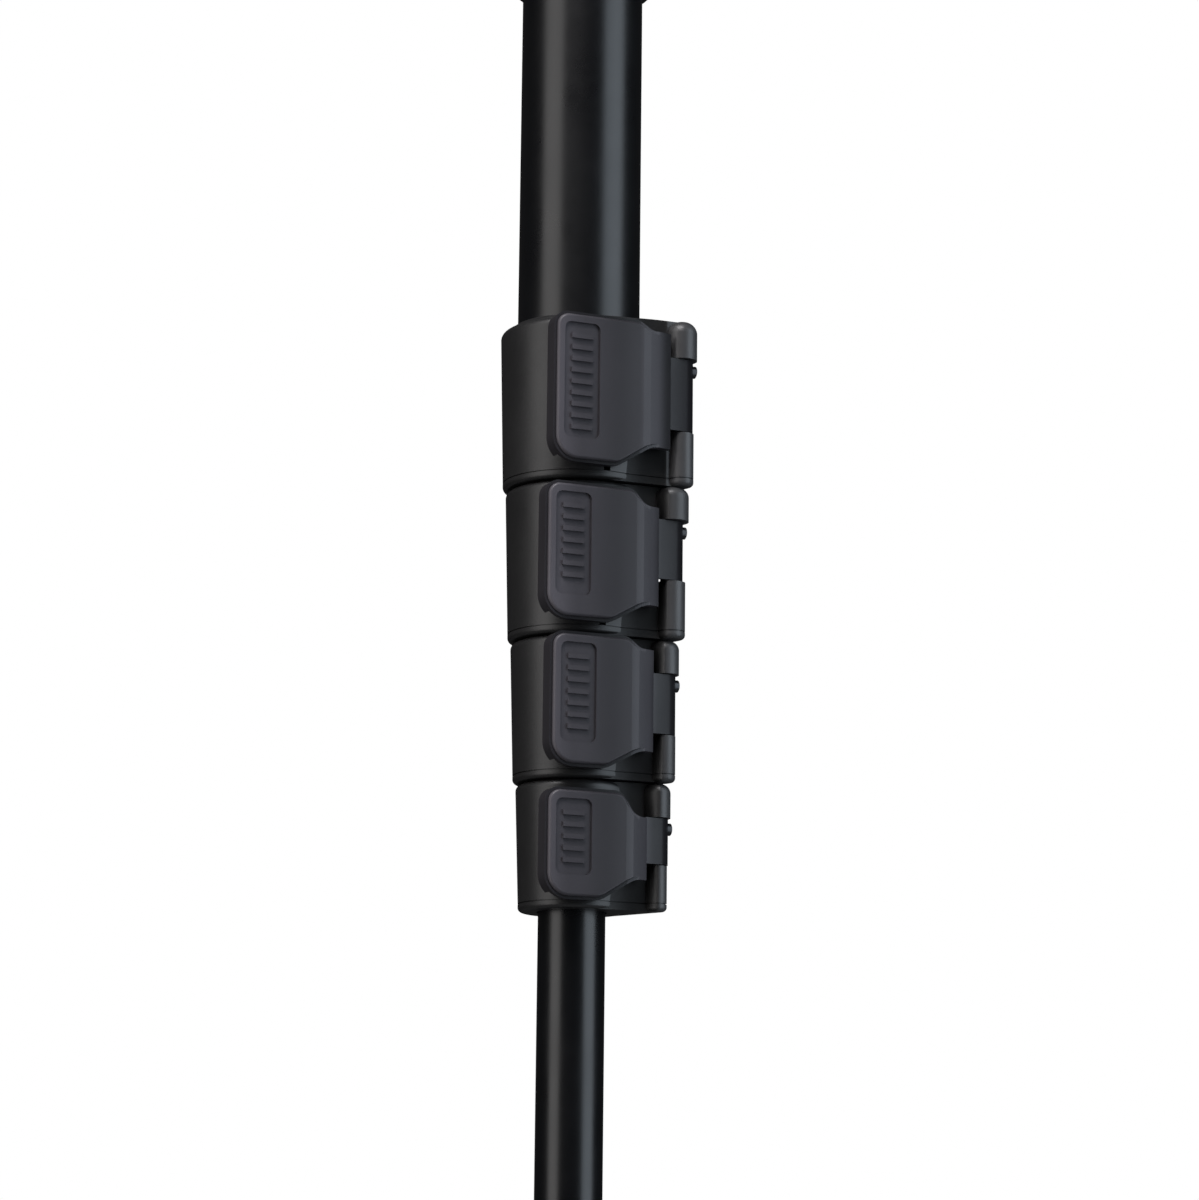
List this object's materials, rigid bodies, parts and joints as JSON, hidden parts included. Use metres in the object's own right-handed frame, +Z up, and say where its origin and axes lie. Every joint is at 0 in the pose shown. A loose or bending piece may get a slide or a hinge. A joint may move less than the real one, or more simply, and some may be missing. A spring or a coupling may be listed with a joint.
{
  "type": "camera monopod",
  "caption": "Telescopic camera monopod with stacked flip-lever collars, foam grip, camera stud and a screw-up rubber foot over a spike.",
  "frame": {"origin": "centre of the camera platform's top face, where the stud leaves it", "axes": "+Z up along the stud and the leg, -Y the side that the lock levers face, +X the side of their hinges"},
  "size_m": [0.0568, 0.056, 0.6689],
  "materials": {
    "platform_rubber": "matte ribbed rubber",
    "black_anodised": "satin black anodised",
    "dark_steel": "blackened steel",
    "cap_plastic": "fine textured black plastic",
    "grip_foam": "closed-cell foam",
    "brass": "machined brass",
    "white_nylon": "natural nylon",
    "foot_rubber": "moulded rubber",
    "collar_plastic": "fine textured glass-filled nylon",
    "lever_plastic": "satin moulded plastic",
    "liner_nylon": "smooth nylon"
  },
  "bodies": {
    "upper_leg": {"platform_pad": "platform_rubber", "platform_disc": "black_anodised", "platform_set_screw": "dark_steel", "camera_stud": "dark_steel", "top_cap": "cap_plastic", "foam_grip": "grip_foam", "grip_ring": "cap_plastic", "tube_1": "black_anodised", "lock_collar_1": "collar_plastic", "retaining_ring_1": "collar_plastic", "grip_liner_1": "liner_nylon"},
    "leg_2": {"tube_2": "black_anodised", "guide_bush_2": "liner_nylon", "lock_collar_2": "collar_plastic", "retaining_ring_2": "collar_plastic", "grip_liner_2": "liner_nylon"},
    "leg_3": {"tube_3": "black_anodised", "guide_bush_3": "liner_nylon", "lock_collar_3": "collar_plastic", "retaining_ring_3": "collar_plastic", "grip_liner_3": "liner_nylon"},
    "leg_4": {"tube_4": "black_anodised", "guide_bush_4": "liner_nylon", "lock_collar_4": "collar_plastic", "retaining_ring_4": "collar_plastic", "grip_liner_4": "liner_nylon"},
    "leg_5": {"tube_5": "black_anodised", "guide_bush_5": "liner_nylon", "foot_plug": "cap_plastic", "foot_spike": "dark_steel"},
    "lever_1": {"lock_lever_1": "lever_plastic", "hinge_pin_1": "dark_steel", "pin_screw_1": "dark_steel"},
    "draw_1": {"draw_bolt_1": "dark_steel", "draw_nut_1": "dark_steel"},
    "lever_2": {"lock_lever_2": "lever_plastic", "hinge_pin_2": "dark_steel", "pin_screw_2": "dark_steel"},
    "draw_2": {"draw_bolt_2": "dark_steel", "draw_nut_2": "dark_steel"},
    "lever_3": {"lock_lever_3": "lever_plastic", "hinge_pin_3": "dark_steel", "pin_screw_3": "dark_steel"},
    "draw_3": {"draw_bolt_3": "dark_steel", "draw_nut_3": "dark_steel"},
    "lever_4": {"lock_lever_4": "lever_plastic", "hinge_pin_4": "dark_steel", "pin_screw_4": "dark_steel"},
    "draw_4": {"draw_bolt_4": "dark_steel", "draw_nut_4": "dark_steel"},
    "washer": {"foot_washer": "white_nylon"},
    "foot": {"rubber_foot": "foot_rubber", "foot_insert": "brass"}
  },
  "joints": [
    {"name": "section_2_slide", "type": "slide", "parent": "upper_leg", "child": "leg_2", "axis": [0, 0, -1], "range_m": [0, 0.306]},
    {"name": "section_3_slide", "type": "slide", "parent": "leg_2", "child": "leg_3", "axis": [0, 0, -1], "range_m": [0, 0.306]},
    {"name": "section_4_slide", "type": "slide", "parent": "leg_3", "child": "leg_4", "axis": [0, 0, -1], "range_m": [0, 0.306]},
    {"name": "section_5_slide", "type": "slide", "parent": "leg_4", "child": "leg_5", "axis": [0, 0, -1], "range_m": [-0.1, 0.206]},
    {"name": "lever_1_hinge", "type": "hinge", "parent": "upper_leg", "child": "lever_1", "pos_m": [0.0243, -0.021, -0.333], "axis": [0, 0, 1], "range_deg": [0, 110]},
    {"name": "draw_1_slide", "type": "slide", "parent": "upper_leg", "child": "draw_1", "axis": [1, 0, 0], "range_m": [-0.00042, 0]},
    {"name": "lever_2_hinge", "type": "hinge", "parent": "leg_2", "child": "lever_2", "pos_m": [0.0223, -0.0189, -0.3815], "axis": [0, 0, 1], "range_deg": [0, 110]},
    {"name": "draw_2_slide", "type": "slide", "parent": "leg_2", "child": "draw_2", "axis": [1, 0, 0], "range_m": [-0.00042, 0]},
    {"name": "lever_3_hinge", "type": "hinge", "parent": "leg_3", "child": "lever_3", "pos_m": [0.0212, -0.0168, -0.4269], "axis": [0, 0, 1], "range_deg": [0, 110]},
    {"name": "draw_3_slide", "type": "slide", "parent": "leg_3", "child": "draw_3", "axis": [1, 0, 0], "range_m": [-0.00042, 0]},
    {"name": "lever_4_hinge", "type": "hinge", "parent": "leg_4", "child": "lever_4", "pos_m": [0.0201, -0.0147, -0.4688], "axis": [0, 0, 1], "range_deg": [0, 110]},
    {"name": "draw_4_slide", "type": "slide", "parent": "leg_4", "child": "draw_4", "axis": [1, 0, 0], "range_m": [-0.00042, 0]},
    {"name": "foot_travel", "type": "slide", "parent": "leg_5", "child": "washer", "axis": [0, 0, 1], "range_m": [0, 0.01]},
    {"name": "foot_turn", "type": "hinge", "parent": "washer", "child": "foot", "pos_m": [0, 0, -0.638], "axis": [0, 0, 1], "range_deg": [0, 1800]}
  ],
  "couplings": [
    {"joint": "draw_1_slide", "follows": "lever_1_hinge", "m_per_rad": -0.00021},
    {"joint": "draw_2_slide", "follows": "lever_2_hinge", "m_per_rad": -0.00021},
    {"joint": "draw_3_slide", "follows": "lever_3_hinge", "m_per_rad": -0.00021},
    {"joint": "draw_4_slide", "follows": "lever_4_hinge", "m_per_rad": -0.00021},
    {"joint": "foot_travel", "follows": "foot_turn", "m_per_rad": 0.0003183}
  ]
}
